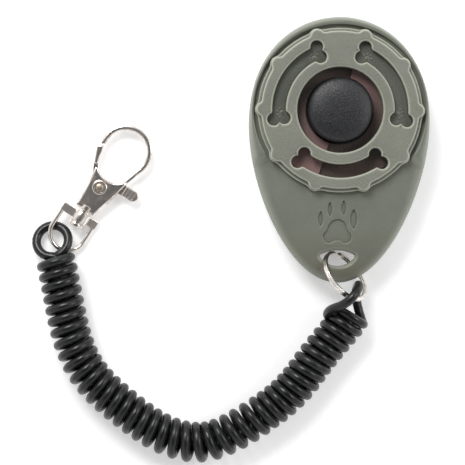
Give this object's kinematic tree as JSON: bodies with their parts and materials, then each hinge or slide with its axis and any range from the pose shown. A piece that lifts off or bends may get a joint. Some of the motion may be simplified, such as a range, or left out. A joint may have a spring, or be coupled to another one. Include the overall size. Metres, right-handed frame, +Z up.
{
  "type": "clicker trainer",
  "caption": "Egg-shaped dog-training clicker with round button, turning volume dial with bone windows, split ring, coiled cord and swivel trigger clasp.",
  "frame": {"origin": "bottom centre of the clicker body's own box, on the surface it lies on", "axes": "+Z up out of the button side, +Y along the body away from the cord end, +X to the right seen from above"},
  "size_m": [0.0992, 0.1119, 0.0156],
  "materials": {
    "cover": "satin",
    "dial": "fine grain",
    "inlay": "grained",
    "smoke": "gloss",
    "button": "grained",
    "inner_plastic": "moulded",
    "spring_steel": "rolled",
    "screw_steel": "zinc",
    "pad": "soft",
    "cord": "gloss",
    "nickel": "polished",
    "rivet": "dull"
  },
  "bodies": {
    "housing": {"back_cover": "cover", "front_cover": "cover", "detent_spring": "spring_steel", "stem_guide": "inner_plastic", "plate_root": "spring_steel", "plate_clamp": "inner_plastic", "clamp_screws": "screw_steel", "case_screws": "screw_steel", "cord_coil": "cord", "cord_loop": "cord", "cord_eye": "cord"},
    "dial": {"volume_dial": "dial", "bone_inlays": "inlay", "cam_disc": "smoke", "dial_clip": "inner_plastic"},
    "button": {"button": "button"},
    "plate": {"clicker_plate": "spring_steel"},
    "damper": {"damper_ring": "inner_plastic", "damper_pads": "pad", "damper_springs": "spring_steel"},
    "ring": {"split_ring": "nickel"},
    "bail": {"clasp_bail": "nickel"},
    "hook": {"clasp_hook": "nickel", "swivel_pin": "nickel", "gate_rivet": "rivet"},
    "gate": {"clasp_gate": "nickel", "gate_spring": "spring_steel"}
  },
  "joints": [
    {"name": "dial_turn", "type": "hinge", "parent": "housing", "child": "dial", "pos_m": [0, 0.0097, 0.011], "axis": [0, 0, -1], "range_deg": [0, 108]},
    {"name": "button_press", "type": "slide", "parent": "housing", "child": "button", "axis": [0, 0, -1], "range_m": [0, 0.0009], "stiffness_N_per_m": 300},
    {"name": "plate_flex", "type": "hinge", "parent": "housing", "child": "plate", "pos_m": [0, -0.00335, 0.00378], "axis": [-1, 0, 0], "range_deg": [0, 4.4]},
    {"name": "damper_slide", "type": "slide", "parent": "housing", "child": "damper", "axis": [0, 0, -1], "range_m": [0, 0.00061], "deforming": ["damper_springs"]},
    {"name": "ring_spin", "type": "hinge", "parent": "housing", "child": "ring", "pos_m": [0.00205, -0.0314, 0.00675], "axis": [0.6634, 0.5567, 0.5], "continuous": true},
    {"name": "clasp_swing", "type": "hinge", "parent": "housing", "child": "bail", "pos_m": [-0.06969, -0.02554, 0.0022], "axis": [0.8453, -0.5344, 0], "range_deg": [0, 12]},
    {"name": "clasp_swivel", "type": "hinge", "parent": "bail", "child": "hook", "pos_m": [-0.06407, -0.01666, 0.0022], "axis": [0.5344, 0.8453, 0], "continuous": true},
    {"name": "gate_open", "type": "hinge", "parent": "hook", "child": "gate", "pos_m": [-0.0598, -0.0099, 0.0022], "axis": [0, 0, -1], "range_deg": [0, 24], "stiffness_Nm_per_rad": 0.004}
  ],
  "couplings": [
    {"joint": "plate_flex", "follows": "button_press", "rad_per_m": 82},
    {"joint": "damper_slide", "follows": "dial_turn", "m_per_rad": 0.0003183}
  ]
}
